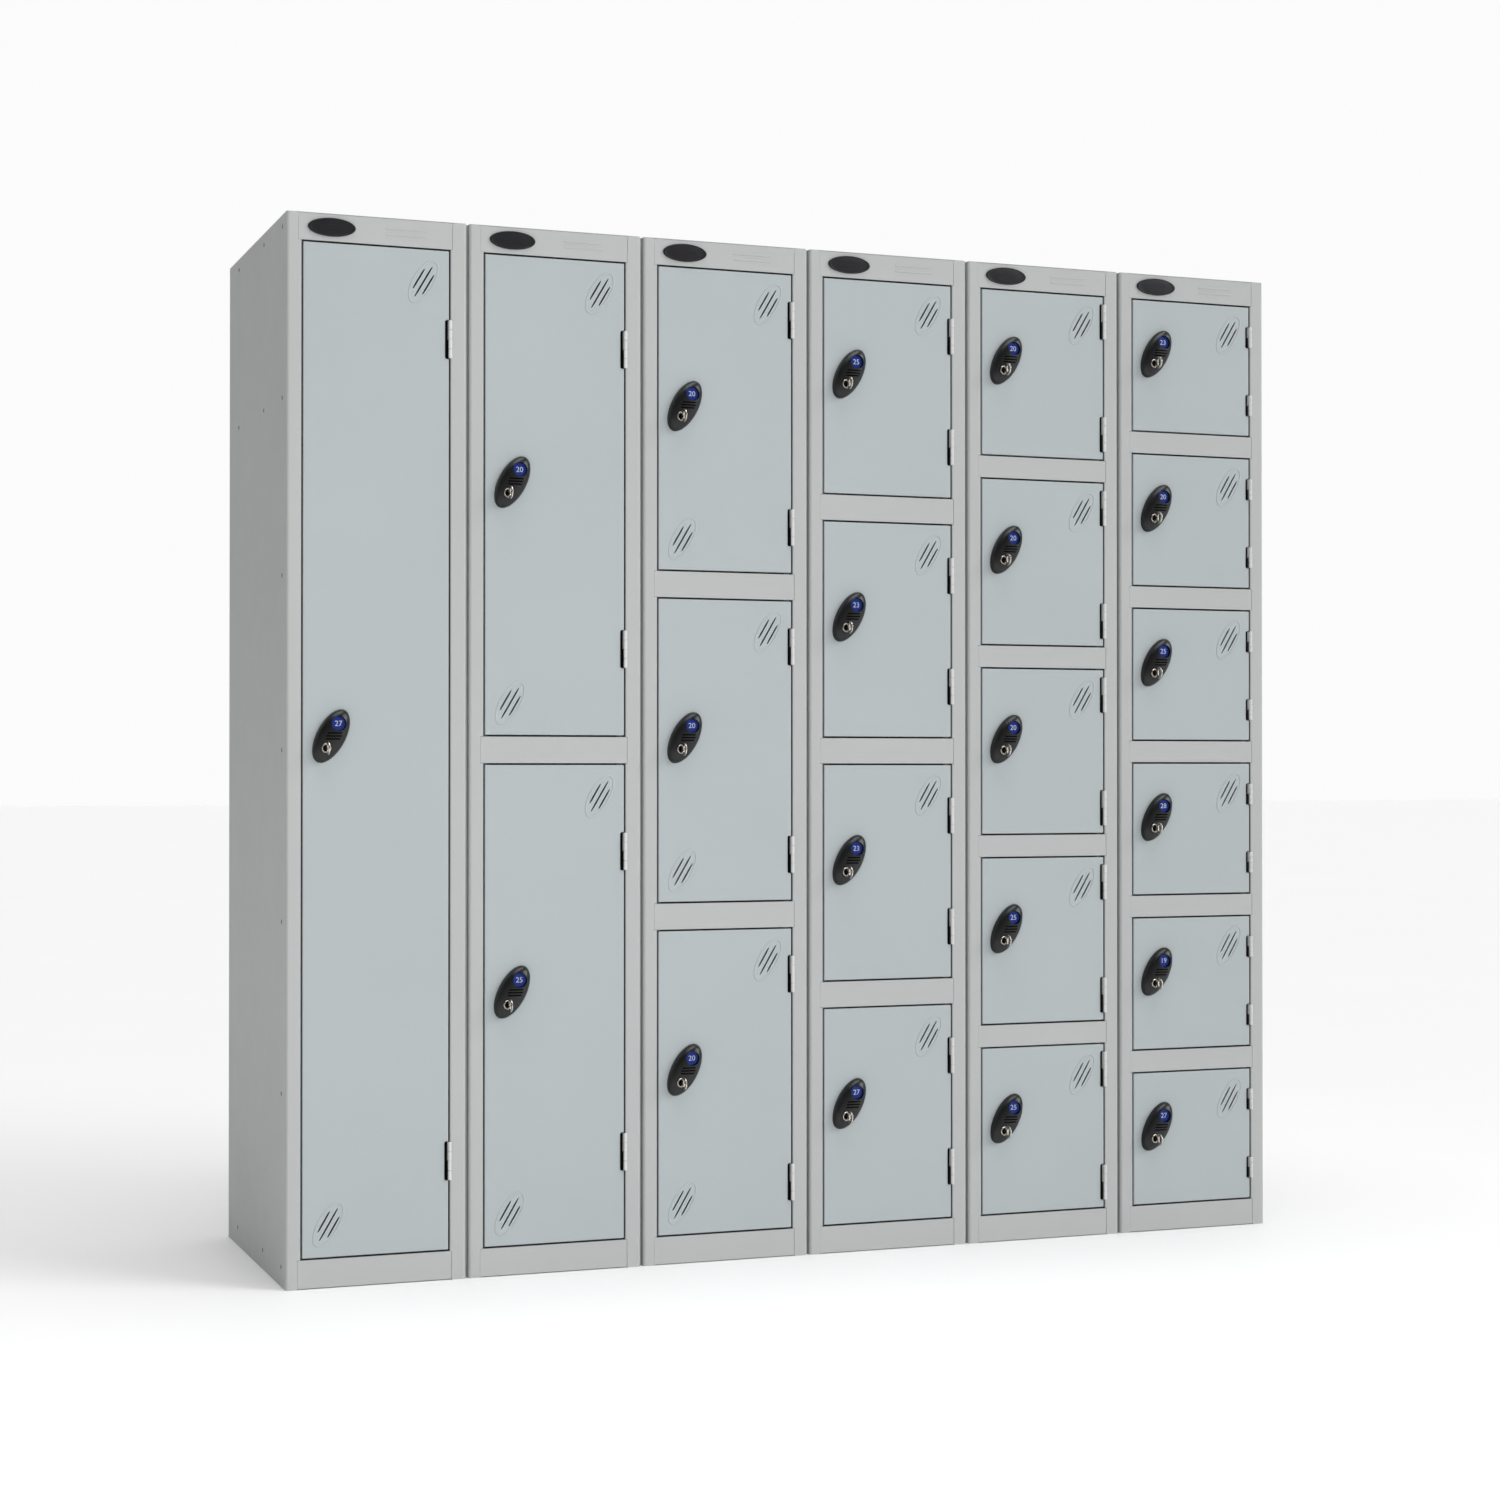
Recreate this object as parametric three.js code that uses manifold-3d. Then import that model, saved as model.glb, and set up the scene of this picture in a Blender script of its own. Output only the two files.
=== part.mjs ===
// A bank of six coin-operated steel lockers, standing side by side and bolted together.
//
// Column n counts from the left and has n doors; doors count from the top. Each column is a folded steel
// cabinet (sides, back, top and front uprights), a welded ladder frame that carries the header, rails,
// plinth, shelves, door stops and fixed hinge knuckles, and a badge on the header. Each door is a steel
// pan with its hinge knuckles, ventilation slots and the coin lock's fixed case. The key, plug and cam
// turn in it: pointing down the cam is free, and a quarter turn swings it behind the left door stop.
//
// Millimetres, +Z up, front towards -Y. Column shapes are drawn with x from the column's left side,
// y from the front face and z from the floor. The finished group's origin is the centre of the base
// of the whole bank's bounding box.

import * as THREE from "three";
import { mergeVertices } from "three/addons/utils/BufferGeometryUtils.js";
import Module from "manifold-3d";

const wasm = await Module();
wasm.setup();

// ---- Driving dimensions ----
const COLUMN_COUNT = 6;
const COLUMN_WIDTH = 305;
const COLUMN_DEPTH = 550;
const COLUMN_HEIGHT = 1780;
const COLUMN_GAP = 5; // between neighbouring columns, held by spacers and closed by a strip

const SHEET = 1; // steel thickness
const CLEARANCE = 0.3; // between pieces that touch or slide

const OPENING_LEFT = 24.5; // door opening, from the column's left side
const OPENING_RIGHT = 277.5;
const RAIL_LEFT = 19.5; // the header, rails and plinth sit in notches in the uprights
const RAIL_RIGHT = 280.5;
const HEADER_HEIGHT = 46;
const PLINTH_HEIGHT = 48;
const TALL_RAIL = 45; // rail between doors in columns of up to four doors
const SHORT_RAIL = 39; // rail in columns of five and six doors
const STOP_DEPTH = 16.5; // front face to the back of the door stops
const STOP_LIP = 10.5; // how far the stops reach behind the door
const STILE_FRONT = SHEET + CLEARANCE; // the stiles start behind the uprights
const STILE_INSET = 0.8; // and stand a little inside their edges
const FOLD_INSET = STILE_INSET + SHEET; // the folds of the rails end short of the stiles
const SHELF_FRONT = STOP_DEPTH - SHEET;
const FOOT_FLANGE = 22; // fold under each side that stands on the floor
const SPACER_HEIGHT = 150; // spacers between neighbouring columns, from the floor and from the top
const SPACER_INSET = 60;
const SPACER_SIZE = 18;
const STRIP_FRONT = 12; // upright strip in the gap, behind the front face
const STRIP_DEPTH = 6;

const DOOR_GAP = 3;
const DOOR_FOLD = 15; // depth of the door pan

const HINGE_INSET = [0, 117, 117, 48, 59, 14, 38]; // door end to knuckle, by doors in the column
const HINGE_LENGTH = 63.5;
const SMALL_HINGE_LENGTH = 38; // on the six-door column
const KNUCKLE_RADIUS = 3;
const PIN_RADIUS = 1.1;
const BORE_RADIUS = 1.8;
const HINGE_X = (OPENING_RIGHT - DOOR_GAP + OPENING_RIGHT) / 2;
const HINGE_Y = -(KNUCKLE_RADIUS + 0.4);

const LOCK_X = 74.5; // middle of the lock housing, from the column's left side
const LOCK_RISE = 22; // middle of the housing above the middle of the door
const LOCK_TILT = THREE.MathUtils.degToRad(28.5);
const HOUSING_LENGTH = 98;
const HOUSING_WIDTH = 48;
const HOUSING_HEIGHT = 18; // how far the housing stands out of the door
const KEY_DROP = 23; // from the housing's middle, along its long axis
const SLEEVE_HALF = 12; // half the width of the sleeve around the plug
const CASE_RIGHT = 118; // coin case behind the door
const CASE_BACK = 38;
const CASE_ABOVE = 52; // from the middle of the housing
const CASE_BELOW = 58;
const PLUG_RADIUS = 8;
const PLUG_BORE = 8.7;
const PLUG_FACE = -19;
const KEY_REACH = 44; // tip of the key's bow in front of the door
const BOW_RADIUS = 11;
const BOW_THICKNESS = 2.2;
const CAM_LENGTH = 34;
const CAM_WIDTH = 12;
const CAM_FRONT = STOP_DEPTH + 1;
const CAM_THICKNESS = 2;

const VENT_SIDE = 44; // middle of the slots from the door's side
const VENT_END = 54; // and from its top or bottom
const VENT_TILT = THREE.MathUtils.degToRad(30.5);
const VENT_SPACING = 9.4;
const VENT_WIDTH = 2.8;
const VENT_MIDDLE_LENGTH = 60;
const VENT_OUTER_LENGTH = 39;
const MOST_DOORS_WITH_LOWER_VENT = 3;

const BADGE_X = 75;
const BADGE_LENGTH = 80;
const BADGE_HEIGHT = 31;
const BADGE_THICKNESS = 3.4;
const BADGE_EDGE = 2.4;

const HAT_SHELF_Z = 1475; // in the single-door column, with a coat rail under it
const COAT_RAIL_DROP = 40;
const COAT_RAIL_INSET = 24;
const COAT_RAIL_RADIUS = 8;
const HANGER_HALF = 12;
const HANGER_STEEL = 3;
const HOOK_WIDTH = 20;
const HOOK_DROP = 36;
const HOOK_REACH = 24;
const HOOK_TIP = 12;
const HOOK_STEEL = 2.5;

// ---- Materials ----
function material(color, roughness, metalness) {
  return new THREE.MeshStandardMaterial({ color, roughness, metalness });
}
const cabinetPaint = material(0xbcbebe, 0.45, 0.0);
const doorPaint = material(0xb9c1c6, 0.4, 0.0);
const blackPlastic = material(0x17181a, 0.3, 0.0);
const keySteel = material(0xc9c4b8, 0.3, 1.0);

// ---- Solids ----
function toSolid(geometry) {
  const bare = geometry.clone();
  bare.deleteAttribute("normal");
  bare.deleteAttribute("uv");
  const merged = mergeVertices(bare, 1e-4);
  const mesh = new wasm.Mesh({
    numProp: 3,
    vertProperties: new Float32Array(merged.attributes.position.array),
    triVerts: new Uint32Array(merged.index.array),
  });
  return new wasm.Manifold(mesh);
}

function join(solids) {
  return solids.reduce((whole, next) => whole.add(next));
}

function box(x0, x1, y0, y1, z0, z1) {
  const geometry = new THREE.BoxGeometry(x1 - x0, y1 - y0, z1 - z0);
  geometry.translate((x0 + x1) / 2, (y0 + y1) / 2, (z0 + z1) / 2);
  return toSolid(geometry);
}

// A round bar standing along Z.
function uprightBar(x, y, z0, z1, radius, sides) {
  const geometry = new THREE.CylinderGeometry(radius, radius, z1 - z0, sides);
  geometry.rotateX(Math.PI / 2);
  geometry.translate(x, y, (z0 + z1) / 2);
  return toSolid(geometry);
}

// A round bar lying along Y, from front to back.
function deepBar(x, z, y0, y1, radius, sides) {
  const geometry = new THREE.CylinderGeometry(radius, radius, y1 - y0, sides);
  geometry.translate(x, (y0 + y1) / 2, z);
  return toSolid(geometry);
}

// A round bar lying along X.
function crossBar(x0, x1, y, z, radius, sides) {
  const geometry = new THREE.CylinderGeometry(radius, radius, x1 - x0, sides);
  geometry.rotateZ(Math.PI / 2);
  geometry.translate((x0 + x1) / 2, y, z);
  return toSolid(geometry);
}

// A flat outline in x and z, given thickness from y0 to y1.
function plate(points, y0, y1) {
  const shape = new THREE.Shape(points.map(([x, z]) => new THREE.Vector2(x, z)));
  const geometry = new THREE.ExtrudeGeometry(shape, { depth: y1 - y0, bevelEnabled: false });
  geometry.rotateX(Math.PI / 2);
  geometry.translate(0, y1, 0);
  return toSolid(geometry);
}

// A dome on an ellipse, in front of the plane y = 0: rings of [share of the half size, height].
function dome(x, z, length, width, tilt, rings, sides) {
  const profile = rings.map(([share, height]) => new THREE.Vector2(share, height));
  const geometry = new THREE.LatheGeometry(profile, sides);
  geometry.scale(width / 2, 1, length / 2);
  geometry.rotateZ(Math.PI);
  geometry.rotateY(tilt);
  geometry.translate(x, 0, z);
  return toSolid(geometry);
}

function named(name, solid, look) {
  const { numProp, vertProperties, triVerts } = solid.getMesh();
  const position = new THREE.BufferAttribute(vertProperties, numProp);
  const geometry = new THREE.BufferGeometry();
  geometry.setAttribute("position", position);
  geometry.setIndex(new THREE.BufferAttribute(triVerts, 1));
  const mesh = new THREE.Mesh(geometry, look);
  mesh.name = name;
  return mesh;
}

// ---- Layout of one column ----
function layout(doorCount) {
  const rail = doorCount > 4 ? SHORT_RAIL : TALL_RAIL;
  const free = COLUMN_HEIGHT - HEADER_HEIGHT - PLINTH_HEIGHT - (doorCount - 1) * rail;
  const openingHeight = free / doorCount;
  const openings = [];
  let top = COLUMN_HEIGHT - HEADER_HEIGHT;
  for (let i = 0; i < doorCount; i++) {
    openings.push({ top, bottom: top - openingHeight });
    top -= openingHeight + rail;
  }
  return openings;
}

// The two hinges of a door, each as its lowest and highest knuckle end.
function hingeSpans(opening, doorCount) {
  const length = doorCount === COLUMN_COUNT ? SMALL_HINGE_LENGTH : HINGE_LENGTH;
  const inset = HINGE_INSET[doorCount];
  const top = opening.top - DOOR_GAP - inset;
  const bottom = opening.bottom + DOOR_GAP + inset;
  return [
    { low: bottom, high: bottom + length },
    { low: top - length, high: top },
  ];
}

// A double coat hook that hangs from the shelf or top above it: a plate, a stem, a bar and two tips.
function coatHook(ceiling) {
  const left = (COLUMN_WIDTH - HOOK_WIDTH) / 2;
  const right = left + HOOK_WIDTH;
  const y = COLUMN_DEPTH / 2;
  const low = ceiling - HOOK_DROP;
  const half = HOOK_STEEL / 2;
  const parts = [
    box(left, right, y - HOOK_REACH, y + HOOK_REACH, ceiling - HOOK_STEEL, ceiling),
    box(left, right, y - half, y + half, low, ceiling),
    box(left, right, y - HOOK_REACH, y + HOOK_REACH, low, low + HOOK_STEEL),
  ];
  for (const side of [-1, 1]) {
    const tip = y + side * (HOOK_REACH - half);
    parts.push(box(left, right, tip - half, tip + half, low, low + HOOK_TIP));
  }
  return join(parts);
}

// ---- Cabinet: sides, back, top, folded uprights and feet ----
function cabinet(doorCount) {
  const w = COLUMN_WIDTH;
  const d = COLUMN_DEPTH;
  const h = COLUMN_HEIGHT;
  const parts = [
    box(0, SHEET, 0, d, 0, h),
    box(w - SHEET, w, 0, d, 0, h),
    box(0, w, d - SHEET, d, 0, h),
    box(0, w, 0, d, h - SHEET, h),
    box(0, RAIL_LEFT, 0, SHEET, 0, h),
    box(RAIL_RIGHT, w, 0, SHEET, 0, h),
    box(0, FOOT_FLANGE, 0, d, 0, SHEET),
    box(w - FOOT_FLANGE, w, 0, d, 0, SHEET),
  ];
  for (const { top, bottom } of layout(doorCount)) {
    parts.push(box(0, OPENING_LEFT, 0, SHEET, bottom + CLEARANCE, top - CLEARANCE));
    parts.push(box(OPENING_RIGHT, w, 0, SHEET, bottom + CLEARANCE, top - CLEARANCE));
  }
  if (doorCount < COLUMN_COUNT) {
    const spacerEnd = w + COLUMN_GAP - CLEARANCE;
    for (const z of [SPACER_HEIGHT, h - SPACER_HEIGHT]) {
      parts.push(box(w - SHEET, spacerEnd, SPACER_INSET, d - SPACER_INSET, z, z + SPACER_SIZE));
    }
    parts.push(box(w - SHEET, spacerEnd, STRIP_FRONT, STRIP_FRONT + STRIP_DEPTH, 0, h));
  }
  if (doorCount === 2) parts.push(coatHook(h - SHEET / 2));
  return join(parts);
}

// ---- Ladder frame: header, rails, plinth, door stops, shelves and fixed knuckles ----

// The fold of a rail that runs back between the stiles, with its underside at z.
function railFold(z) {
  return box(OPENING_LEFT + FOLD_INSET, OPENING_RIGHT - FOLD_INSET, 0, STOP_DEPTH, z, z + SHEET);
}

// A face between the uprights' notches, with a fold at its lower edge.
function faceRail(low, high) {
  const face = box(RAIL_LEFT + CLEARANCE, RAIL_RIGHT - CLEARANCE, 0, SHEET, low, high);
  return face.add(railFold(low));
}

// A shelf fills the column behind the uprights.
function shelf(top) {
  const inset = SHEET + CLEARANCE;
  return box(inset, COLUMN_WIDTH - inset, SHELF_FRONT, COLUMN_DEPTH - inset, top - SHEET, top);
}

// A rail with a shelf, which the fold at its upper edge runs back to.
function shelfRail(low, high) {
  return join([faceRail(low, high), railFold(high - SHEET), shelf(high)]);
}

// One side of a door opening: a fold behind the edge of the upright, and the stop behind the door.
function stile(edge, outward, { top, bottom }) {
  const inner = edge - outward * STILE_INSET;
  const outer = inner + outward * SHEET;
  const lip = inner - outward * STOP_LIP;
  const low = bottom - SHEET / 2;
  const high = top + SHEET / 2;
  return join([
    box(Math.min(inner, outer), Math.max(inner, outer), STILE_FRONT, STOP_DEPTH, low, high),
    box(Math.min(lip, outer), Math.max(lip, outer), STOP_DEPTH - SHEET, STOP_DEPTH, low, high),
  ]);
}

// Outline of a knuckle and its leaf seen from above, around the pin, with the leaf on the given side.
function knuckleOutline(leafNear, leafFar) {
  const outline = [[leafFar, STILE_FRONT + SHEET], [leafNear, STILE_FRONT + SHEET]];
  const r = KNUCKLE_RADIUS;
  const near = [leafNear, HINGE_Y + r * 0.87];
  const far = [leafFar, HINGE_Y + r * 0.87];
  const side = Math.sign(leafFar - leafNear);
  const round = [150, 210, 270, 330, 390].map((degrees) => {
    const angle = THREE.MathUtils.degToRad(degrees);
    return [HINGE_X + side * r * Math.cos(angle), HINGE_Y + r * Math.sin(angle)];
  });
  return [...outline, near, ...round, far];
}

// A knuckle with its leaf, from z0 to z1.
function knuckle(leafNear, leafFar, z0, z1) {
  const points = knuckleOutline(leafNear, leafFar).map(([x, y]) => new THREE.Vector2(x, y));
  const shape = new THREE.Shape(points);
  const geometry = new THREE.ExtrudeGeometry(shape, { depth: z1 - z0, bevelEnabled: false });
  geometry.translate(0, 0, z0);
  return toSolid(geometry);
}

// The fixed knuckle is the lower one, and carries the pin.
function fixedHinge({ low, high }) {
  const leafFar = OPENING_RIGHT - CLEARANCE;
  const middle = (low + high) / 2;
  const pin = uprightBar(HINGE_X, HINGE_Y, middle - SHEET, high - SHEET, PIN_RADIUS, 6);
  return knuckle(leafFar - SHEET, leafFar, low, middle).add(pin);
}

// The coat rail under the hat shelf, on two hangers.
function coatRail() {
  const y = COLUMN_DEPTH / 2;
  const railZ = HAT_SHELF_Z - COAT_RAIL_DROP;
  const low = railZ - HANGER_HALF;
  const parts = [crossBar(COAT_RAIL_INSET, COLUMN_WIDTH - COAT_RAIL_INSET, y, railZ, COAT_RAIL_RADIUS, 8)];
  for (const x of [COAT_RAIL_INSET, COLUMN_WIDTH - COAT_RAIL_INSET - HANGER_STEEL]) {
    parts.push(box(x, x + HANGER_STEEL, y - HANGER_HALF, y + HANGER_HALF, low, HAT_SHELF_Z));
  }
  return join(parts);
}

function ladderFrame(doorCount) {
  const openings = layout(doorCount);
  const roof = COLUMN_HEIGHT - SHEET - CLEARANCE;
  const parts = [
    shelfRail(SHEET + CLEARANCE, PLINTH_HEIGHT),
    faceRail(COLUMN_HEIGHT - HEADER_HEIGHT, roof),
  ];
  openings.forEach((opening, i) => {
    if (i > 0) parts.push(shelfRail(opening.top, openings[i - 1].bottom));
    parts.push(stile(OPENING_LEFT, -1, opening), stile(OPENING_RIGHT, 1, opening));
    parts.push(...hingeSpans(opening, doorCount).map(fixedHinge));
  });
  if (doorCount === 1) {
    parts.push(shelf(HAT_SHELF_Z));
    parts.push(coatRail());
  }
  if (doorCount === 2) parts.push(coatHook(openings[0].bottom - SHEET / 2));
  return join(parts);
}

// ---- Header badge: a plain domed oval ----
function badge() {
  const rings = [
    [0, CLEARANCE],
    [1, CLEARANCE],
    [0.94, CLEARANCE + BADGE_EDGE],
    [0, CLEARANCE + BADGE_THICKNESS],
  ];
  const middle = COLUMN_HEIGHT - HEADER_HEIGHT / 2;
  return dome(BADGE_X, middle, BADGE_HEIGHT, BADGE_LENGTH, 0, rings, 12);
}

// ---- Door ----

// A long thin slot, for cutting.
function ventSlot(x, z, length, along, across) {
  const halfLength = length / 2;
  const halfWidth = VENT_WIDTH / 2;
  const corners = [
    [halfLength, -halfWidth],
    [halfLength, halfWidth],
    [-halfLength, halfWidth],
    [-halfLength, -halfWidth],
  ];
  const outline = corners.map(([a, b]) => [
    x + a * along[0] + b * across[0],
    z + a * along[1] + b * across[1],
  ]);
  return plate(outline, -SHEET, 2 * SHEET);
}

// Three slanted slots, the middle one longer.
function ventCutters(x, z) {
  const along = [Math.sin(VENT_TILT), Math.cos(VENT_TILT)];
  const across = [-along[1], along[0]];
  return [-1, 0, 1].map((side) => {
    const shift = side * VENT_SPACING;
    const length = side === 0 ? VENT_MIDDLE_LENGTH : VENT_OUTER_LENGTH;
    return ventSlot(x + shift * across[0], z + shift * across[1], length, along, across);
  });
}

// The door's knuckle is the upper one, and turns on the pin.
function doorHinge({ low, high }, doorRight) {
  const middle = (low + high) / 2 + CLEARANCE;
  const bore = uprightBar(HINGE_X, HINGE_Y, middle - 1, high - SHEET / 2, BORE_RADIUS, 6);
  return knuckle(doorRight, doorRight - SHEET, middle, high).subtract(bore);
}

function keyPoint(lockZ) {
  return {
    x: LOCK_X - KEY_DROP * Math.sin(LOCK_TILT),
    z: lockZ - KEY_DROP * Math.cos(LOCK_TILT),
  };
}

// The housing in front of the door, the plug's sleeve and the coin case behind it.
function lockCase(lockZ) {
  const key = keyPoint(lockZ);
  const root = SHEET / 2;
  const rings = [
    [0, -root],
    [1, -root],
    [0.9, 0.6 * HOUSING_HEIGHT],
    [0.5, HOUSING_HEIGHT],
    [0, HOUSING_HEIGHT],
  ];
  const housing = dome(LOCK_X, lockZ, HOUSING_LENGTH, HOUSING_WIDTH, LOCK_TILT, rings, 10);
  const caseLeft = key.x + SLEEVE_HALF - SHEET;
  const coinCase = box(caseLeft, CASE_RIGHT, root, CASE_BACK, lockZ - CASE_BELOW, lockZ + CASE_ABOVE);
  const left = key.x - SLEEVE_HALF;
  const low = key.z - SLEEVE_HALF;
  const sleeve = box(left, left + 2 * SLEEVE_HALF, root, STOP_DEPTH, low, low + 2 * SLEEVE_HALF);
  const plugBore = deepBar(key.x, key.z, -HOUSING_HEIGHT - SHEET, CASE_BACK, PLUG_BORE, 8);
  return { solid: join([housing, coinCase, sleeve]), plugBore };
}

function door(opening, doorCount) {
  const left = OPENING_LEFT + DOOR_GAP;
  const right = OPENING_RIGHT - DOOR_GAP;
  const low = opening.bottom + DOOR_GAP;
  const high = opening.top - DOOR_GAP;
  const lockZ = (low + high) / 2 + LOCK_RISE;
  const lock = lockCase(lockZ);
  const pan = box(left, right, 0, DOOR_FOLD, low, high).subtract(
    box(left + SHEET, right - SHEET, SHEET, DOOR_FOLD + 1, low + SHEET, high - SHEET),
  );
  let leaf = pan;
  const vents = [[right - VENT_SIDE, high - VENT_END]];
  if (doorCount <= MOST_DOORS_WITH_LOWER_VENT) vents.push([left + VENT_SIDE, low + VENT_END]);
  for (const [x, z] of vents) {
    for (const cutter of ventCutters(x, z)) leaf = leaf.subtract(cutter);
  }
  const knuckles = hingeSpans(opening, doorCount).map((span) => doorHinge(span, right));
  return { solid: join([leaf, lock.solid, ...knuckles]).subtract(lock.plugBore), lockZ };
}

// ---- Key, plug and cam, which turn together ----
function keyAndCam(lockZ) {
  const { x, z } = keyPoint(lockZ);
  const bowReach = (KEY_REACH + PLUG_FACE) / 2 + SHEET;
  const bow = new THREE.CylinderGeometry(BOW_RADIUS, BOW_RADIUS, BOW_THICKNESS, 8);
  bow.rotateZ(Math.PI / 2);
  bow.scale(1, bowReach / BOW_RADIUS, 1);
  bow.translate(x, bowReach - KEY_REACH, z);
  const camBack = CAM_FRONT + CAM_THICKNESS;
  return join([
    toSolid(bow),
    deepBar(x, z, PLUG_FACE, camBack, PLUG_RADIUS, 8),
    box(x - CAM_WIDTH / 2, x + CAM_WIDTH / 2, CAM_FRONT, camBack, z - CAM_LENGTH, z),
  ]);
}

// ---- The bank ----
const bank = new THREE.Group();
const bankWidth = COLUMN_COUNT * COLUMN_WIDTH + (COLUMN_COUNT - 1) * COLUMN_GAP;
bank.position.set(-bankWidth / 2, (KEY_REACH - COLUMN_DEPTH) / 2, 0);

for (let doorCount = 1; doorCount <= COLUMN_COUNT; doorCount++) {
  const column = new THREE.Group();
  column.position.x = (doorCount - 1) * (COLUMN_WIDTH + COLUMN_GAP);
  column.add(named(`cabinet_${doorCount}`, cabinet(doorCount), cabinetPaint));
  column.add(named(`ladder_frame_${doorCount}`, ladderFrame(doorCount), cabinetPaint));
  column.add(named(`header_badge_${doorCount}`, badge(), blackPlastic));
  layout(doorCount).forEach((opening, i) => {
    const { solid, lockZ } = door(opening, doorCount);
    const place = `${doorCount}_${i + 1}`;
    column.add(named(`door_${place}`, solid, doorPaint));
    column.add(named(`key_and_cam_${place}`, keyAndCam(lockZ), keySteel));
  });
  bank.add(column);
}

const root = new THREE.Group();
root.add(bank);
export default root;
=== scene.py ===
"""A bank of six coin-operated steel lockers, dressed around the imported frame.

Shapes are drawn in millimetres in each column's own space: x from its left side, y from its front face
towards the back, and z from the floor. Column n has n doors, and doors count from the top. A lock is
drawn around the middle of its housing. Placing a piece turns millimetres into the frame's metres.
"""

import math

import bmesh
import bpy
from mathutils import Matrix, Vector


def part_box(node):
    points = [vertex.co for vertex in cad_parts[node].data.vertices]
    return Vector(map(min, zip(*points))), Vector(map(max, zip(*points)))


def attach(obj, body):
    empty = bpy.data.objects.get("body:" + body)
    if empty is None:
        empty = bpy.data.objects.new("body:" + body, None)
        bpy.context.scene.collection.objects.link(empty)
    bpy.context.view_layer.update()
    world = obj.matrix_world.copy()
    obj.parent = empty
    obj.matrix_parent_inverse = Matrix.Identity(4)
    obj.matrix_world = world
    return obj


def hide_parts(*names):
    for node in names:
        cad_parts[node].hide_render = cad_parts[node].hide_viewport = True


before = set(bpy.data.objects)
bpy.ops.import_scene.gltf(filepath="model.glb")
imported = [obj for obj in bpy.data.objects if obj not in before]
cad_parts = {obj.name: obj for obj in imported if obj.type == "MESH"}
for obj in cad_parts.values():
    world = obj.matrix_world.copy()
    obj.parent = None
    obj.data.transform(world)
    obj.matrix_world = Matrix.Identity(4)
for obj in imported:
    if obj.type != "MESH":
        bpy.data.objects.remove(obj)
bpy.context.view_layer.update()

MM = 0.001
SHARP_ANGLE = math.radians(40)
COLUMN_COUNT = 6
DISC_NUMBERS = {
    1: ["27"],
    2: ["20", "25"],
    3: ["20", "20", "20"],
    4: ["25", "23", "23", "27"],
    5: ["20", "20", "20", "25", "25"],
    6: ["23", "20", "25", "28", "19", "27"],
}

# Cabinet, as in the frame
WIDTH = 305
DEPTH = 550
HEIGHT = 1780
SHEET = 1
SEAM = 0.3
COLUMN_GAP = 5
SKIN_TOP = HEIGHT - SHEET / 2
OPENING_LEFT = 24.5
OPENING_RIGHT = 277.5
RAIL_LEFT = 19.5
RAIL_RIGHT = 280.5
HEADER_LOW = 1734
PLINTH_HIGH = 48
STOP_DEPTH = 16.5
STOP_LIP = 10.5
STILE_INSET = 0.8
HAT_SHELF = 1475
SIDE_CORNER = 5  # radius of the folded edges between front and sides
BACK_CORNER = 3
LIP_CORNER = 1.5  # radius of the uprights' folded edges
LIP_STEPS = 3
FLARE = 6  # radius of the curve at the top of the header's seams
FACE_RECESS = 0.5  # the rails sit a little behind the uprights
FACE_CORNER = 1.2
FOOT_FLANGE = 21
SPACER_HEIGHT = 150
SPACER_SIZE = 18
SPACER_INSET = 60
STRIP_FRONT = 12  # of the strip that closes the gap between columns
STRIP_DEPTH = 6

# Rivets, the heights and depths of their rows
RIVET_RADIUS = 4
RIVET_HEIGHT = 0.9
SIDE_ROWS = (HEIGHT - 20, HAT_SHELF, 33)
SIDE_ROW_DEPTHS = (38, 205, 450)
FRONT_RIVET_HEIGHTS = (1180, 890, 605, 320)
BACK_RIVET_HEIGHTS = (30, 320, 605, 890, 1180, 1475, HEIGHT - 30)
BACK_RIVET_INSET = 12

# Coat rail in column 1 and coat hooks in column 2
RAIL_DROP = 40
RAIL_INSET = 24
RAIL_RADIUS = 8
HANGER = 3
HANGER_HALF = 12
HOOK_DROP = 36
HOOK_REACH = 24
HOOK_HALF_WIDTH = 8

# Doors and hinges
DOOR_GAP = 3
DOOR_FOLD = 15
DOOR_FACE = 1.6
HINGE_INSET = [0, 117, 117, 48, 59, 14, 38]  # from a door's ends, by the number of doors
HINGE_LENGTH = 63.5
SMALL_HINGE_LENGTH = 38
KNUCKLE_RADIUS = 3
PIN_RADIUS = 1.1
HINGE_X = 276
HINGE_Y = -3.4
HINGE_JOINT = 0.15  # half the play between the fixed and the moving knuckles
NOTCH = 6.5  # how far the hinge notches reach into the door
DOOR_EDGE = 1.5  # radius of the doors' folded edges

VENT_SIDE = 44
VENT_END = 54
VENT_TILT = math.radians(30.5)
VENT_SPACING = 9.4
VENT_WIDTH = 2.6
MIDDLE_SLOT = 60
OUTER_SLOT = 39
RING_OUTER = (41.6, 18.8)
RING_INNER = (38.0, 15.2)

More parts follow.
